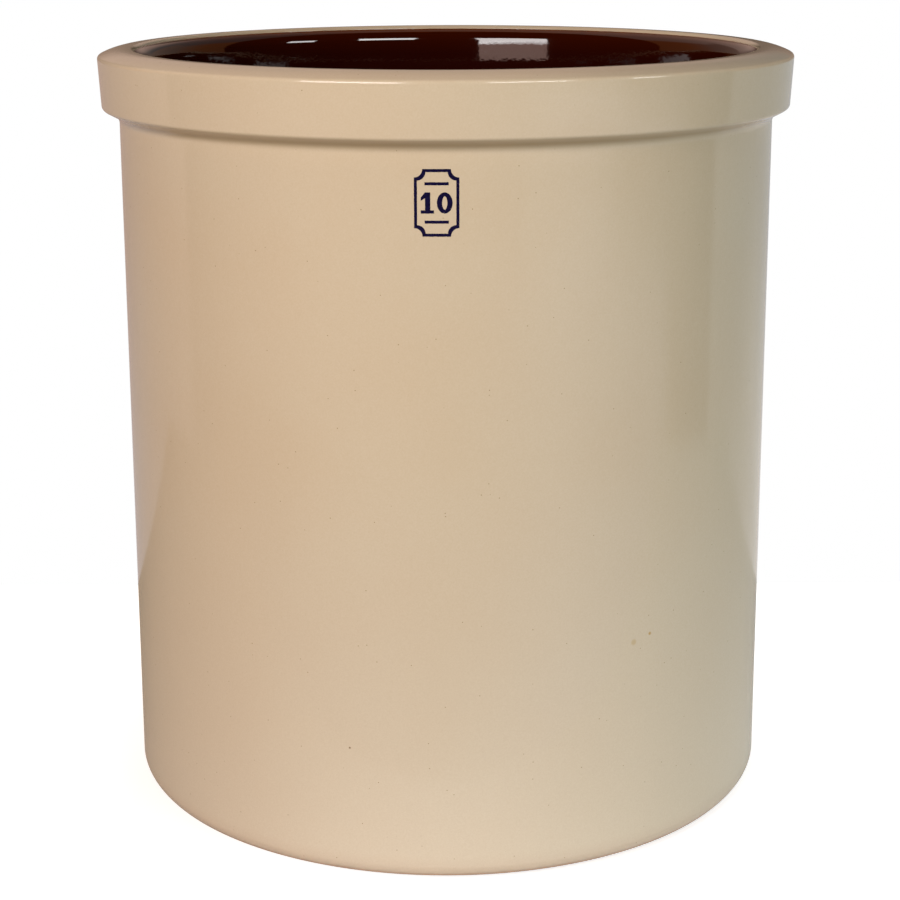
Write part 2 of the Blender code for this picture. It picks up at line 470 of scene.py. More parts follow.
def poured_cream_with_painted_bounce(tree, place, height):
    """The coat's colour: cloudy, painted paler towards the bottom for light bounced and mirrored from the
    table, and finely mottled and grained.
    """
    cloud = add_node(
        tree, "ShaderNodeTexNoise", {"Vector": place, "Scale": 1 / CLOUD_WIDTH, "Detail": 2.0}
    )
    clouded = add_node(
        tree,
        "ShaderNodeMix",
        {"Factor": cloud, "A": linear(CREAM_HEX), "B": linear(CREAM_WARM_HEX)},
        data_type="RGBA",
    )
    # painted light: paler towards the bottom, for the table's bounce and reflection
    painted_bounce = add_node(
        tree,
        "ShaderNodeMapRange",
        {"Value": height, "From Min": PAINTED_BOUNCE_TOP, "From Max": 0.0, "To Min": 0.0, "To Max": PAINTED_BOUNCE_SHARE},
    )
    thick_or_painted_bounce = add_node(
        tree,
        "ShaderNodeMix",
        {"Factor": painted_bounce, "A": clouded, "B": linear(CREAM_PAINTED_BOUNCE_HEX)},
        data_type="RGBA",
    )
    mottle = add_node(
        tree, "ShaderNodeTexNoise", {"Vector": place, "Scale": 1 / MOTTLE_WIDTH, "Detail": 3.0}
    )
    faint = add_node(tree, "ShaderNodeMath", {0: mottle, 1: MOTTLE_SHARE}, operation="MULTIPLY")
    mottled = add_node(
        tree,
        "ShaderNodeMix",
        {"Factor": faint, "A": thick_or_painted_bounce, "B": linear(CREAM_PALE_HEX)},
        data_type="RGBA",
    )
    grain = add_node(tree, "ShaderNodeTexNoise", {"Vector": place, "Scale": 1 / GRAIN_WIDTH})
    fine = add_node(tree, "ShaderNodeMath", {0: grain, 1: GRAIN_SHARE}, operation="MULTIPLY")
    return add_node(
        tree,
        "ShaderNodeMix",
        {"Factor": fine, "A": mottled, "B": linear(CREAM_GRAIN_HEX)},
        data_type="RGBA",
    )


def thinned_at_foot(tree, place, height, cream):
    """Low down the clay blushes through the coat, and at its wavy edge the coat runs out thin and tan."""
    drift = add_node(
        tree, "ShaderNodeTexNoise", {"Vector": place, "Scale": 1 / THIN_DRIFT_WIDTH, "Detail": 2.0}
    )
    wavy = add_node(tree, "ShaderNodeMath", {0: drift, 1: THIN_DRIFT, 2: height}, operation="MULTIPLY_ADD")
    thin = add_node(
        tree,
        "ShaderNodeMapRange",
        {"Value": wavy, "From Min": THICK_LINE_HEIGHT, "From Max": THIN_LINE_HEIGHT},
        interpolation_type="SMOOTHSTEP",
    )
    heel = add_node(
        tree,
        "ShaderNodeMapRange",
        {
            "Value": wavy,
            "From Min": BLUSH_TOP,
            "From Max": BLUSH_FULL,
            "To Min": 0.0,
            "To Max": BLUSH_SHARE,
        },
        interpolation_type="SMOOTHSTEP",
    )
    blushed = add_node(
        tree, "ShaderNodeMix", {"Factor": heel, "A": cream, "B": linear(CREAM_BLUSH_HEX)}, data_type="RGBA"
    )
    return add_node(
        tree, "ShaderNodeMix", {"Factor": thin, "A": blushed, "B": linear(CREAM_THIN_HEX)}, data_type="RGBA"
    )


def painted_cove_shade(tree, height, cream):
    """Painted shade: a darker line in the cove under the band, where the band shades the wall."""
    from_crease = add_node(
        tree, "ShaderNodeMath", {0: height, 1: BODY_HEIGHT - CREASE_SHADE_DROP}, operation="SUBTRACT"
    )
    crease_gap = add_node(tree, "ShaderNodeMath", {0: from_crease}, operation="ABSOLUTE")
    cove_shade = add_node(
        tree,
        "ShaderNodeMapRange",
        {"Value": crease_gap, "From Min": CREASE_SHADE_REACH, "From Max": 0.0},
        interpolation_type="SMOOTHSTEP",
    )
    return add_node(
        tree, "ShaderNodeMix", {"Factor": cove_shade, "A": cream, "B": linear(CREASE_SHADE_HEX)}, data_type="RGBA"
    )


def iron_specked(tree, place, cream):
    """Fine specks here and there, and a few larger spots, where iron in the clay has burnt through."""
    cells = add_node(tree, "ShaderNodeTexVoronoi", {"Vector": place, "Scale": 1 / SPECK_SPACING})
    dot = add_node(
        tree,
        "ShaderNodeMapRange",
        {"Value": (cells, "Distance"), "From Min": SPECK_SIZE_SHARE, "From Max": SPECK_SIZE_SHARE / 2},
    )
    lot = add_node(tree, "ShaderNodeSeparateXYZ", {"Vector": (cells, "Color")})
    kept = add_node(tree, "ShaderNodeMath", {0: lot, 1: SPECK_KEPT}, operation="GREATER_THAN")
    speck = add_node(tree, "ShaderNodeMath", {0: dot, 1: kept}, operation="MULTIPLY")
    colour = add_node(
        tree, "ShaderNodeMix", {"Factor": speck, "A": cream, "B": linear(IRON_SPECK_HEX)}, data_type="RGBA"
    )
    for centre, radius, spot_hex in IRON_SPOTS:
        gap = (add_node(tree, "ShaderNodeVectorMath", {0: place, 1: centre}, operation="DISTANCE"), "Value")
        spot = add_node(
            tree,
            "ShaderNodeMapRange",
            {"Value": gap, "From Min": radius, "From Max": radius * SPOT_CORE_SHARE},
            interpolation_type="SMOOTHSTEP",
        )
        colour = add_node(
            tree, "ShaderNodeMix", {"Factor": spot, "A": colour, "B": linear(spot_hex)}, data_type="RGBA"
        )
    return colour


def orange_peel(tree, place):
    """How the melted coat has levelled: a fine peel over a broad, shallow ripple."""
    peel = add_node(
        tree, "ShaderNodeTexNoise", {"Vector": place, "Scale": 1 / PEEL_WIDTH, "Detail": 1.0}
    )
    ripple = add_node(
        tree, "ShaderNodeTexNoise", {"Vector": place, "Scale": 1 / RIPPLE_WIDTH, "Detail": 1.0}
    )
    peel_height = add_node(tree, "ShaderNodeMath", {0: peel, 1: PEEL_HEIGHT}, operation="MULTIPLY")
    swell = add_node(
        tree, "ShaderNodeMath", {0: ripple, 1: RIPPLE_HEIGHT, 2: peel_height}, operation="MULTIPLY_ADD"
    )
    return add_node(tree, "ShaderNodeBump", {"Height": swell, "Distance": 1.0})


def cream_glaze():
    """Opaque cream glaze: cloudy and finely mottled, with a few iron specks, and tan where it is thin."""
    finish, tree, place, shader = new_finish("opaque_cream_glaze")
    height = (add_node(tree, "ShaderNodeSeparateXYZ", {"Vector": place}), "Z")
    # painted light: the coat is paler towards the bottom
    cream = poured_cream_with_painted_bounce(tree, place, height)
    cream = thinned_at_foot(tree, place, height, cream)
    # painted shade: darker in the cove under the band
    cream = painted_cove_shade(tree, height, cream)
    cream = iron_specked(tree, place, cream)
    bump = orange_peel(tree, place)
    tree.links.new(open_socket(cream.outputs, 0), shader.inputs["Base Color"])
    tree.links.new(bump.outputs[0], shader.inputs["Normal"])
    shader.inputs["Roughness"].default_value = CREAM_ROUGHNESS
    return finish


cream_coat = turned("cream_coat", cream_coat_outline(), cream_glaze())
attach(cream_coat, "root")
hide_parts("outer_glaze")


# The dark liner coat
# A brown slip glaze that melts glassy and nearly black. It is poured in, swilled round and tipped out,
# so it covers the whole inside up to an even line just inside the lip, where it thins to amber.
LINER_HEX = "#270602"
LINER_WARM_HEX = "#350C00"
LINER_AMBER_HEX = "#571F00"
LINER_EDGE_HEX = "#7C3A06"
LINER_EDGE_RISE = 0.0006
LINER_EDGE_SINK = 0.00003
AMBER_START_DROP = 0.0018
AMBER_DEPTH = 0.0007
WARM_DEPTH = 0.0028
DARK_DEPTH = 0.016
AMBER_DRIFT_WIDTH = 0.012
AMBER_DRIFT = 0.0008
LINER_RIPPLE_WIDTH = 0.0030
LINER_LEVEL_DROP = 0.010
LINER_LEVEL_HEIGHT = 0.000008
LINER_RIPPLE_DROP = 0.020
LINER_RIPPLE_HEIGHT = 0.000045
LINER_ROUGHNESS = 0.045


def liner_coat_outline():
    """The dark coat starts thin over the cream and thickens at once to its full depth."""
    line = evened(inside_line(), WALL_STEP)
    depths = []
    for length in lengths_along(line):
        thin = max(1 - length / LINER_EDGE_RISE, 0)
        depths.append(COAT_DEPTH - LINER_EDGE_SINK * thin)
    return coat_outline(line, depths)


def liner_glaze():
    """Glassy brown slip glaze: almost black where it is thick, amber where it thins at the lip."""
    finish, tree, place, shader = new_finish("dark_slip_glaze")
    drift = add_node(
        tree, "ShaderNodeTexNoise", {"Vector": place, "Scale": 1 / AMBER_DRIFT_WIDTH, "Detail": 2.0}
    )
    height = (add_node(tree, "ShaderNodeSeparateXYZ", {"Vector": place}), "Z")
    wavy = add_node(
        tree, "ShaderNodeMath", {0: drift, 1: AMBER_DRIFT, 2: height}, operation="MULTIPLY_ADD"
    )
    start = COAT_TOP - AMBER_START_DROP + AMBER_DRIFT / 2
    thick_or_painted_bounce = add_node(
        tree,
        "ShaderNodeMapRange",
        {
            "Value": wavy,
            "From Min": start,
            "From Max": start - DARK_DEPTH,
            "To Min": 0.0,
            "To Max": 1.0,
        },
    )
    ramp = add_node(tree, "ShaderNodeValToRGB", {"Fac": thick_or_painted_bounce})
    ramp.color_ramp.elements[0].color = linear(LINER_EDGE_HEX)
    ramp.color_ramp.elements[1].color = linear(LINER_HEX)
    ramp.color_ramp.elements.new(AMBER_DEPTH / DARK_DEPTH).color = linear(LINER_AMBER_HEX)
    ramp.color_ramp.elements.new(WARM_DEPTH / DARK_DEPTH).color = linear(LINER_WARM_HEX)
    ripple = add_node(
        tree, "ShaderNodeTexNoise", {"Vector": place, "Scale": 1 / LINER_RIPPLE_WIDTH, "Detail": 2.0}
    )
    depth = add_node(
        tree,
        "ShaderNodeMapRange",
        {
            "Value": height,
            "From Min": COAT_TOP - LINER_LEVEL_DROP,
            "From Max": COAT_TOP - LINER_RIPPLE_DROP,
            "To Min": LINER_LEVEL_HEIGHT,
            "To Max": LINER_RIPPLE_HEIGHT,
        },
    )
    swell = add_node(tree, "ShaderNodeMath", {0: ripple, 1: depth}, operation="MULTIPLY")
    bump = add_node(tree, "ShaderNodeBump", {"Height": swell, "Distance": 1.0})
    tree.links.new(ramp.outputs["Color"], shader.inputs["Base Color"])
    tree.links.new(bump.outputs[0], shader.inputs["Normal"])
    shader.inputs["Roughness"].default_value = LINER_ROUGHNESS
    return finish


liner_coat = turned("liner_coat", liner_coat_outline(), liner_glaze())
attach(liner_coat, "root")
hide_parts("inner_glaze")


# The capacity mark
# A plain numeral for ten gallons in a ruled frame, stamped on the raw glaze in cobalt under the band.
# In the firing it sinks in and melts level with the glaze, so it is as smooth as the wall.
MARK_WIDTH = 0.0225
MARK_TALL = 0.0335
MARK_HEIGHT = 0.3720
MARK_TURN = math.radians(-1.35)
MARK_LINE = 0.0015
MARK_CORNER = 0.0042
MARK_PROUD = 0.00002
MARK_SUNK = 0.0003
MARK_STEP = 0.0015
NUMERAL_TALL = 0.0105
NUMERAL_STROKE = 0.0026
NUMERAL_GAP = 0.0014
ZERO_WIDTH = 0.0078
ZERO_STEPS = 40
ZERO_CAP_SHARE = 0.75
ONE_WIDTH = 0.0066
ONE_SLAB_SHARE = 0.62
ONE_STEM_LEFT_SHARE = 0.45
ONE_STEM_RIGHT_SHARE = 0.55
ONE_FLAG_SHARE = 0.6
ONE_FLAG_TIP_SHARE = 0.1
RULE_WIDTH = 0.0120
RULE_AWAY = 0.0095
COBALT_HEX = "#0B0619"
COBALT_BLEED_HEX = "#1C1740"
COBALT_BLEED_WIDTH = 0.0012


def closed_run(corners, longest):
    """The closed outline through these corners, cut into short steps that can bend round the wall."""
    return evened(corners + corners[:1], longest)[:-1]


def notched_frame(half_width, half_height, notch):
    """A rectangle whose corners are cut back by quarter circles."""
    corners = []
    for turn, (across, up) in enumerate(((1, 1), (-1, 1), (-1, -1), (1, -1))):
        centre = Vector((across * half_width, up * half_height))
        start = math.pi * (1.5 + 0.5 * turn)
        corners += ellipse_arc(centre, notch, notch, start, start - math.pi / 2, ARC_STEPS)
    return corners


def box_outline(centre, width, tall):
    """A plain upright rectangle."""
    across = Vector((width / 2, 0))
    up = Vector((0, tall / 2))
    return [centre - across - up, centre + across - up, centre + across + up, centre - across + up]


def numeral_one(centre):
    """A one with a slab foot and a flag."""
    left = centre.x - ONE_WIDTH / 2
    right = centre.x + ONE_WIDTH / 2
    bottom = centre.y - NUMERAL_TALL / 2
    top = centre.y + NUMERAL_TALL / 2
    slab = bottom + NUMERAL_STROKE * ONE_SLAB_SHARE
    stem_left = centre.x - NUMERAL_STROKE * ONE_STEM_LEFT_SHARE
    stem_right = centre.x + NUMERAL_STROKE * ONE_STEM_RIGHT_SHARE
    flag = top - NUMERAL_STROKE
    return [
        Vector((left, bottom)),
        Vector((right, bottom)),
        Vector((right, slab)),
        Vector((stem_right, slab)),
        Vector((stem_right, top)),
        Vector((stem_left, top)),
        Vector((left, flag)),
        Vector((left, flag - NUMERAL_STROKE * ONE_FLAG_SHARE)),
        Vector((stem_left, flag - NUMERAL_STROKE * ONE_FLAG_TIP_SHARE)),
        Vector((stem_left, slab)),
        Vector((left, slab)),
    ]


def mark_outlines():
    """Every closed outline of the mark, laid out flat round its centre. One inside another is a hole."""
    half_width = MARK_WIDTH / 2
    half_tall = MARK_TALL / 2
    line = MARK_LINE
    run = ONE_WIDTH + NUMERAL_GAP + ZERO_WIDTH
    one = Vector(((ONE_WIDTH - run) / 2, 0))
    zero = Vector(((run - ZERO_WIDTH) / 2, 0))
    half_zero = ZERO_WIDTH / 2
    half_numeral = NUMERAL_TALL / 2
    hole_width = half_zero - NUMERAL_STROKE
    hole_height = half_numeral - NUMERAL_STROKE * ZERO_CAP_SHARE
    return [
        notched_frame(half_width, half_tall, MARK_CORNER),
        notched_frame(half_width - line, half_tall - line, MARK_CORNER),
        box_outline(Vector((0, RULE_AWAY)), RULE_WIDTH, line),
        box_outline(Vector((0, -RULE_AWAY)), RULE_WIDTH, line),
        numeral_one(one),
        ellipse_arc(zero, half_zero, half_numeral, 0, 2 * math.pi, ZERO_STEPS)[:-1],
        ellipse_arc(zero, hole_width, hole_height, 0, 2 * math.pi, ZERO_STEPS)[:-1],
    ]


def cobalt_glaze():
    """Cobalt colour melted into the glaze: deep navy, bluer where it bleeds out thin."""
    finish, tree, place, shader = new_finish("cobalt_mark_in_glaze")
    bleed = add_node(
        tree, "ShaderNodeTexNoise", {"Vector": place, "Scale": 1 / COBALT_BLEED_WIDTH, "Detail": 2.0}
    )
    cobalt = add_node(
        tree,
        "ShaderNodeMix",
        {"Factor": bleed, "A": linear(COBALT_HEX), "B": linear(COBALT_BLEED_HEX)},
        data_type="RGBA",
    )
    tree.links.new(open_socket(cobalt.outputs, 0), shader.inputs["Base Color"])
    shader.inputs["Roughness"].default_value = CREAM_ROUGHNESS
    return finish


def glazed_wall_radius(height):
    """The radius of the glazed wall at a height between the heel and the band."""
    wall_top = BODY_HEIGHT - BAND_HEIGHT - BAND_UNDERSIDE_DROP
    share = (height - HEEL_HEIGHT) / (wall_top - HEEL_HEIGHT)
    return FOOT_RADIUS + (WALL_RADIUS - FOOT_RADIUS) * share + COAT_DEPTH


def stamped_mark():
    """The flat outlines filled, given a thin body and wrapped round the wall."""
    curve = bpy.data.curves.new("mark", "CURVE")
    curve.dimensions = "2D"
    curve.fill_mode = "BOTH"
    curve.extrude = (MARK_PROUD + MARK_SUNK) / 2
    for outline in mark_outlines():
        points = closed_run(outline, MARK_STEP)
        spline = curve.splines.new("POLY")
        spline.points.add(len(points) - 1)
        for place, point in zip(spline.points, points):
            place.co = (point.x, point.y, 0, 1)
        spline.use_cyclic_u = True
    flat = bpy.data.objects.new("mark", curve)
    bpy.context.scene.collection.objects.link(flat)
    evaluated = flat.evaluated_get(bpy.context.evaluated_depsgraph_get())
    mesh = bpy.data.meshes.new_from_object(evaluated)
    bpy.data.objects.remove(flat)
    shape = bmesh.new()
    shape.from_mesh(mesh)
    bmesh.ops.remove_doubles(shape, verts=shape.verts, dist=MERGE_DISTANCE)
    for cut in range(1, math.ceil(MARK_WIDTH / MARK_STEP)):
        whole = shape.verts[:] + shape.edges[:] + shape.faces[:]
        line = Vector((cut * MARK_STEP - MARK_WIDTH / 2, 0, 0))
        bmesh.ops.bisect_plane(shape, geom=whole, plane_co=line, plane_no=(1, 0, 0))
    for corner in shape.verts:
        height = MARK_HEIGHT + corner.co.y
        radius = glazed_wall_radius(height) + corner.co.z + (MARK_PROUD - MARK_SUNK) / 2
        angle = MARK_TURN + corner.co.x / radius
        corner.co = (radius * math.sin(angle), -radius * math.cos(angle), height)
    bmesh.ops.recalc_face_normals(shape, faces=shape.faces)
    shape.to_mesh(mesh)
    shape.free()
    mesh.name = "capacity_mark"
    mesh.materials.clear()
    mesh.materials.append(cobalt_glaze())
    mark = bpy.data.objects.new("capacity_mark", mesh)
    bpy.context.scene.collection.objects.link(mark)
    return mark


capacity_mark = stamped_mark()
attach(capacity_mark, "root")


# The studio
# A white table in a plain room whose walls only the glaze mirrors, so that its reflections have the tones
# of a workshop: dark in front, paper and wood round the back. Nine soft lamps give a plain level of light.
TABLE_FRONT = -0.33
TABLE_BACK = 0.30
TABLE_HALF_WIDTH = 1.02
TABLE_THICKNESS = 0.03
TABLE_HEX = "#E9E6E2"
TABLE_LEFT_HEX = "#C4B39E"
TABLE_LEFT_FADE = 0.20
SHADOW_REACH = 0.185
SHADOW_GONE = 0.280
SHADOW_LIFT = 0.80
TABLE_LIT_REACH = 0.5
TABLE_LEFT_TONE = 0.0
TABLE_RIGHT_TONE = 0.30
TABLE_DIM_BACK = 0.20
TABLE_LIT_FRONT = -0.10
TABLE_BACK_SHARE = 0.35
ROOM_HALF = 3.2
ROOM_DARK_HEX = "#120C0A"
ROOM_FLOOR_HEX = "#877671"
FLOOR_FADE = 0.4
PALE_FLOOR_HEX = "#D8D4E0"
PALE_FLOOR_ACROSS = 2.5
PALE_FLOOR_BACK = -0.45
PALE_FLOOR_FADE = 0.30
LEFT_PAPER_HEX = "#BDA59B"
RIGHT_PAPER_HEX = "#BCBCBE"
LEFT_PAPER_LOW_HEX = "#C4B8B6"
RIGHT_PAPER_LOW_HEX = "#DEDAD8"
PAPER_LOW_START = -0.2
PAPER_LOW_END = -0.8
PAPER_BLEND = 1.0
PAPER_SLANT = 0.04
PAPER_START = 0.52
PAPER_EDGE_FADE = 0.04
PAPER_GAP_SHIFT = 0.06
PAPER_GAP = 0.3
PAPER_GAP_FADE = 0.85
PAPER_FADE = 0.1
WOOD_FRONT_HEX = "#B57348"
WOOD_BACK_HEX = "#9E8475"
WOOD_BACK_START = 1.6
WOOD_START = 0.15
WOOD_FADE = 0.23
WARM_WALL_HEX = "#CDAFA0"
WARM_WALL_START = 0.60
WARM_WALL_FADE = 0.6
GREY_WALL_HEX = "#7E7B78"
GREY_WALL_START = 0.2
GREY_WALL_FADE = 1.0
SIDE_WALL_START = 1.2
SIDE_WALL_FADE = 0.6
SIDE_WALL_RISE = 1.6
WORLD_FILL = 0.02
LAMP_DISTANCE = 1.8
# Each lamp's degrees round from the front, degrees up, width, height, power, colour and the rays that miss it
LAMPS = (
    ("key_softbox", -29, 17, 0.96, 0.60, 25.2, "#FFF8F7", None),
    ("key_veil", -29, 7.2, 0.96, 0.035, 0.93, "#FFF8F7", None),
    ("key_card", -29, 4.2, 0.96, 0.16, 1.30, "#FFD3C4", None),
    ("front_strip", 26, 22, 0.75, 0.40, 15, "#FFFFFF", "diffuse"),
    ("side_strip", 65, 19, 0.38, 0.30, 4.6, "#FFFFFF", "diffuse"),
    ("low_right", 40, -7, 1.00, 0.30, 12.9, "#E6F7FF", "glossy"),
    ("right_wall", 125, 10, 1.80, 1.20, 10.9, "#F0FEFC", "glossy"),
    ("back_fill", 180, -3, 0.60, 0.40, 18.0, "#FFF8F7", "glossy"),
    ("overhead", 0, 80, 1.60, 1.60, 5.2, "#FFEBDC", "glossy"),
)
CAMERA_HEIGHT = 0.5148
CAMERA_DISTANCE = 1.1576
CAMERA_ASIDE = 0.0018
CAMERA_PITCH = 0.2712
CAMERA_ROLL = -0.0030
LENS = 78.66
SENSOR = 36


def studio_tree(name):
    """A studio surface's material and its empty tree. Its glow is seen or mirrored, and lights nothing."""
    finish = bpy.data.materials.new(name)
    finish.use_nodes = True
    finish.cycles.emission_sampling = "NONE"
    tree = finish.node_tree
    tree.nodes.clear()
    return finish, tree


def background_rays(tree):
    """1 for the rays that see the plain white background: the camera's, mirrored and refracted ones."""
    path = add_node(tree, "ShaderNodeLightPath")
    seen = add_node(
        tree,
        "ShaderNodeMath",
        {0: (path, "Is Camera Ray"), 1: (path, "Is Glossy Ray")},
        operation="MAXIMUM",
    )
    return add_node(tree, "ShaderNodeMath", {0: seen, 1: (path, "Is Transmission Ray")}, operation="MAXIMUM")


def slab(name, low, high, finish):
    """A plain box of the studio."""
    mesh = bpy.data.meshes.new(name)
    shape = bmesh.new()
    bmesh.ops.create_cube(shape, size=1)
    for corner in shape.verts:
        corner.co = [(a + b) / 2 + (b - a) * c for a, b, c in zip(low, high, corner.co)]
    shape.to_mesh(mesh)
    shape.free()
    mesh.materials.append(finish)
    piece = bpy.data.objects.new(name, mesh)
    bpy.context.scene.collection.objects.link(piece)
    return piece


def mirrored_table_tone(tree, spot):
    """How bright the glaze mirrors the table: brighter to the right and to the front."""
    lit_side = add_node(
        tree,
        "ShaderNodeMapRange",
        {
            "Value": (spot, "X"),
            "From Min": -TABLE_LIT_REACH,
            "From Max": TABLE_LIT_REACH,
            "To Min": TABLE_LEFT_TONE,
            "To Max": TABLE_RIGHT_TONE,
        },
    )
    lit_front = add_node(
        tree,
        "ShaderNodeMapRange",
        {
            "Value": (spot, "Y"),
            "From Min": TABLE_DIM_BACK,
            "From Max": TABLE_LIT_FRONT,
            "To Min": TABLE_BACK_SHARE,
            "To Max": 1.0,
        },
    )
    return add_node(tree, "ShaderNodeMath", {0: lit_side, 1: lit_front}, operation="MULTIPLY")


def table_top():
    """White laminate, a little browner on the left, that keeps the crock's shadow and fades out to white."""
    finish, tree = studio_tree("white_table")
    place = (add_node(tree, "ShaderNodeTexCoord"), "Object")
    spot = add_node(tree, "ShaderNodeSeparateXYZ", {"Vector": place})
    away = (add_node(tree, "ShaderNodeVectorMath", {0: place}, operation="LENGTH"), "Value")
    faded = add_node(
        tree,
        "ShaderNodeMapRange",
        {
            "Value": away,
            "From Min": SHADOW_REACH,
            "From Max": SHADOW_GONE,
            "To Min": SHADOW_LIFT,
            "To Max": 1.0,
        },
        interpolation_type="SMOOTHSTEP",
    )
    path = add_node(tree, "ShaderNodeLightPath")
    direct = add_node(
        tree,
        "ShaderNodeMath",
        {0: (path, "Is Camera Ray"), 1: (path, "Is Transmission Ray")},
        operation="MAXIMUM",
    )
    mirrored = add_node(
        tree,
        "ShaderNodeMath",
        {0: (path, "Is Glossy Ray"), 1: mirrored_table_tone(tree, spot)},
        operation="MULTIPLY",
    )
    shown_white = add_node(
        tree, "ShaderNodeMath", {0: direct, 1: faded, 2: mirrored}, operation="MULTIPLY_ADD"
    )
    on_left = add_node(
        tree,
        "ShaderNodeMapRange",
        {"Value": (spot, "X"), "From Min": 0.0, "From Max": -TABLE_LEFT_FADE},
        interpolation_type="SMOOTHSTEP",
    )
    tint = add_node(
        tree,
        "ShaderNodeMix",
        {"Factor": on_left, "A": linear(TABLE_HEX), "B": linear(TABLE_LEFT_HEX)},
        data_type="RGBA",
    )
    laminate = add_node(tree, "ShaderNodeBsdfDiffuse", {"Color": tint})
    white = add_node(tree, "ShaderNodeEmission", {"Color": [1, 1, 1, 1], "Strength": shown_white})
    shown = add_node(tree, "ShaderNodeAddShader", {0: laminate, 1: white})
    add_node(tree, "ShaderNodeOutputMaterial", {"Surface": shown})
    return finish


def dark_front(tree, spot):
    """The dark front of the room over a brown floor, which turns pale towards the front on the right."""
    below = add_node(
        tree,
        "ShaderNodeMapRange",
        {"Value": (spot, "Z"), "From Min": 0.0, "From Max": -FLOOR_FADE},
        interpolation_type="SMOOTHSTEP",
    )
    to_right = add_node(
        tree, "ShaderNodeMapRange", {"Value": (spot, "X"), "From Min": 0.0, "From Max": PALE_FLOOR_ACROSS}
    )
    to_front = add_node(
        tree,
        "ShaderNodeMapRange",
        {
            "Value": (spot, "Y"),
            "From Min": PALE_FLOOR_BACK,
            "From Max": PALE_FLOOR_BACK - PALE_FLOOR_FADE,
        },
        interpolation_type="SMOOTHSTEP",
    )
    pale = add_node(tree, "ShaderNodeMath", {0: to_right, 1: to_front}, operation="MULTIPLY")
    floor = add_node(
        tree,
        "ShaderNodeMix",
        {"Factor": pale, "A": linear(ROOM_FLOOR_HEX), "B": linear(PALE_FLOOR_HEX)},
        data_type="RGBA",
    )
    return add_node(
        tree, "ShaderNodeMix", {"Factor": below, "A": linear(ROOM_DARK_HEX), "B": floor}, data_type="RGBA"
    )


def low_cladding(tree, spot):
    """Pale paper to just above the table's height, lighter lower down, and warm wood above it."""
    on_right = add_node(
        tree,
        "ShaderNodeMapRange",
        {"Value": (spot, "X"), "From Min": -PAPER_BLEND, "From Max": PAPER_BLEND},
        interpolation_type="SMOOTHSTEP",
    )
    paper = add_node(
        tree,
        "ShaderNodeMix",
        {"Factor": on_right, "A": linear(LEFT_PAPER_HEX), "B": linear(RIGHT_PAPER_HEX)},
        data_type="RGBA",
    )
    low_paper = add_node(
        tree,
        "ShaderNodeMix",
        {"Factor": on_right, "A": linear(LEFT_PAPER_LOW_HEX), "B": linear(RIGHT_PAPER_LOW_HEX)},
        data_type="RGBA",
    )
    to_low = add_node(
        tree,
        "ShaderNodeMapRange",
        {"Value": (spot, "Z"), "From Min": PAPER_LOW_START, "From Max": PAPER_LOW_END},
    )
    lit_paper = add_node(
        tree, "ShaderNodeMix", {"Factor": to_low, "A": paper, "B": low_paper}, data_type="RGBA"
    )
    far = add_node(
        tree,
        "ShaderNodeMapRange",
        {"Value": (spot, "Y"), "From Min": WOOD_BACK_START, "From Max": ROOM_HALF},
    )
    wood = add_node(
        tree,
        "ShaderNodeMix",
        {"Factor": far, "A": linear(WOOD_FRONT_HEX), "B": linear(WOOD_BACK_HEX)},
        data_type="RGBA",
    )
    above = add_node(
        tree,
        "ShaderNodeMapRange",
        {"Value": (spot, "Z"), "From Min": WOOD_START, "From Max": WOOD_START + WOOD_FADE},
        interpolation_type="SMOOTHSTEP",
    )
    return add_node(tree, "ShaderNodeMix", {"Factor": above, "A": lit_paper, "B": wood}, data_type="RGBA")


def behind_paper_edge(tree, spot):
    """0 in the front of the room, 1 behind the slightly slanting edge where the paper starts."""
    back = add_node(
        tree, "ShaderNodeMath", {0: (spot, "X"), 1: -PAPER_SLANT, 2: (spot, "Y")}, operation="MULTIPLY_ADD"
    )
    return add_node(
        tree,
        "ShaderNodeMapRange",
        {"Value": back, "From Min": PAPER_START, "From Max": PAPER_START + PAPER_EDGE_FADE},
        interpolation_type="SMOOTHSTEP",
    )


def outside_gap(tree, spot):
    """0 in a gap above the table in the middle of the back, 1 below it and towards both sides."""
    across = add_node(tree, "ShaderNodeMath", {0: (spot, "X"), 1: PAPER_GAP_SHIFT}, operation="SUBTRACT")
    out = add_node(tree, "ShaderNodeMath", {0: across}, operation="ABSOLUTE")
    beside = add_node(
        tree,
        "ShaderNodeMapRange",
        {"Value": out, "From Min": PAPER_GAP, "From Max": PAPER_GAP + PAPER_GAP_FADE},
        interpolation_type="SMOOTHSTEP",
    )
    low = add_node(
        tree,
        "ShaderNodeMapRange",
        {"Value": (spot, "Z"), "From Min": PAPER_FADE, "From Max": -PAPER_FADE},
        interpolation_type="SMOOTHSTEP",
    )
    return add_node(tree, "ShaderNodeMath", {0: beside, 1: low}, operation="MAXIMUM")


def high_up(tree, spot):
    """0 low on the walls, 1 high on them. It starts higher on the side walls than on the back wall."""
    sideways = add_node(tree, "ShaderNodeMath", {0: (spot, "X")}, operation="ABSOLUTE")
    at_side = add_node(
        tree,
        "ShaderNodeMapRange",
        {"Value": sideways, "From Min": SIDE_WALL_START, "From Max": SIDE_WALL_START + SIDE_WALL_FADE},
        interpolation_type="SMOOTHSTEP",
    )
    level = add_node(
        tree, "ShaderNodeMath", {0: at_side, 1: -SIDE_WALL_RISE, 2: (spot, "Z")}, operation="MULTIPLY_ADD"
    )
    return add_node(
        tree,
        "ShaderNodeMapRange",
        {"Value": level, "From Min": WARM_WALL_START, "From Max": WARM_WALL_START + WARM_WALL_FADE},
        interpolation_type="SMOOTHSTEP",
    )


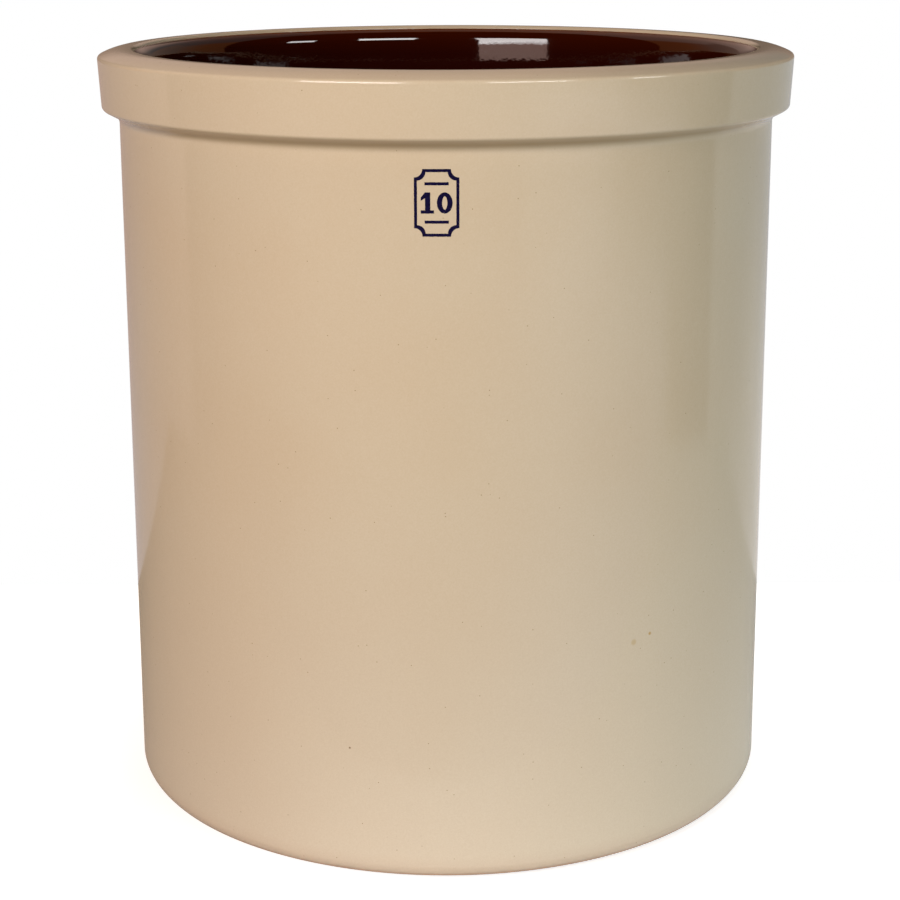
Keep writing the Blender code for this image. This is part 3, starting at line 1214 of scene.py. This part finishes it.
def upper_wall(tree, spot):
    """The painted wall above, warm on the left and grey on the right."""
    turning_grey = add_node(
        tree,
        "ShaderNodeMapRange",
        {"Value": (spot, "X"), "From Min": GREY_WALL_START, "From Max": GREY_WALL_START + GREY_WALL_FADE},
        interpolation_type="SMOOTHSTEP",
    )
    return add_node(
        tree,
        "ShaderNodeMix",
        {"Factor": turning_grey, "A": linear(WARM_WALL_HEX), "B": linear(GREY_WALL_HEX)},
        data_type="RGBA",
    )


def dim_room():
    """The room that the glaze mirrors: dark in front, and clad and painted walls round its back."""
    finish, tree = studio_tree("dim_room")
    place = (add_node(tree, "ShaderNodeTexCoord"), "Object")
    spot = add_node(tree, "ShaderNodeSeparateXYZ", {"Vector": place})
    behind = behind_paper_edge(tree, spot)
    clad = add_node(
        tree, "ShaderNodeMath", {0: behind, 1: outside_gap(tree, spot)}, operation="MULTIPLY"
    )
    low_walls = add_node(
        tree,
        "ShaderNodeMix",
        {"Factor": clad, "A": dark_front(tree, spot), "B": low_cladding(tree, spot)},
        data_type="RGBA",
    )
    painted = add_node(tree, "ShaderNodeMath", {0: high_up(tree, spot), 1: behind}, operation="MULTIPLY")
    tone = add_node(
        tree,
        "ShaderNodeMix",
        {"Factor": painted, "A": low_walls, "B": upper_wall(tree, spot)},
        data_type="RGBA",
    )
    glow = add_node(tree, "ShaderNodeEmission", {"Color": tone, "Strength": 1.0})
    add_node(tree, "ShaderNodeOutputMaterial", {"Surface": glow})
    return finish


slab(
    "studio_table",
    (-TABLE_HALF_WIDTH, TABLE_FRONT, -TABLE_THICKNESS),
    (TABLE_HALF_WIDTH, TABLE_BACK, 0),
    table_top(),
)
room = slab("studio_room", (-ROOM_HALF,) * 3, (ROOM_HALF,) * 3, dim_room())
room.visible_camera = False
room.visible_diffuse = False
room.visible_transmission = False
room.visible_shadow = False

world = bpy.data.worlds.new("studio")
bpy.context.scene.world = world
world.use_nodes = True
sky = world.node_tree
sky.nodes.clear()
fill = add_node(sky, "ShaderNodeBackground", {"Color": [1, 1, 1, 1], "Strength": WORLD_FILL})
white = add_node(sky, "ShaderNodeBackground", {"Color": [1, 1, 1, 1], "Strength": 1.0})
seen = add_node(sky, "ShaderNodeMixShader", {0: background_rays(sky), 1: fill, 2: white})
add_node(sky, "ShaderNodeOutputWorld", {"Surface": seen})


def softbox(name, azimuth, elevation, width, tall, power, hex_colour):
    """A softbox that faces the crock. Azimuth 0 is in front of it, and 90 on its right."""
    light = bpy.data.lights.new(name, "AREA")
    light.shape = "RECTANGLE"
    light.size = width
    light.size_y = tall
    light.energy = power
    light.color = linear(hex_colour)[:3]
    lamp = bpy.data.objects.new(name, light)
    side = math.radians(azimuth)
    up = math.radians(elevation)
    direction = Vector((math.sin(side) * math.cos(up), -math.cos(side) * math.cos(up), math.sin(up)))
    aim = Vector((0, 0, BODY_HEIGHT))
    lamp.matrix_world = Matrix.LocRotScale(
        aim + direction * LAMP_DISTANCE, direction.to_track_quat("Z", "Y"), None
    )
    bpy.context.scene.collection.objects.link(lamp)
    return lamp


for *settings, missed in LAMPS:
    lamp = softbox(*settings)
    lamp.visible_diffuse = missed != "diffuse"
    lamp.visible_glossy = missed != "glossy"

camera = bpy.data.objects.new("camera", bpy.data.cameras.new("camera"))
camera.data.lens = LENS
camera.data.sensor_width = SENSOR
tilt = Matrix.Rotation(math.pi / 2 - CAMERA_PITCH, 3, "X") @ Matrix.Rotation(CAMERA_ROLL, 3, "Z")
camera.matrix_world = Matrix.LocRotScale(
    Vector((CAMERA_ASIDE, -CAMERA_DISTANCE, CAMERA_HEIGHT)), tilt.to_quaternion(), None
)
bpy.context.scene.collection.objects.link(camera)
bpy.context.scene.camera = camera
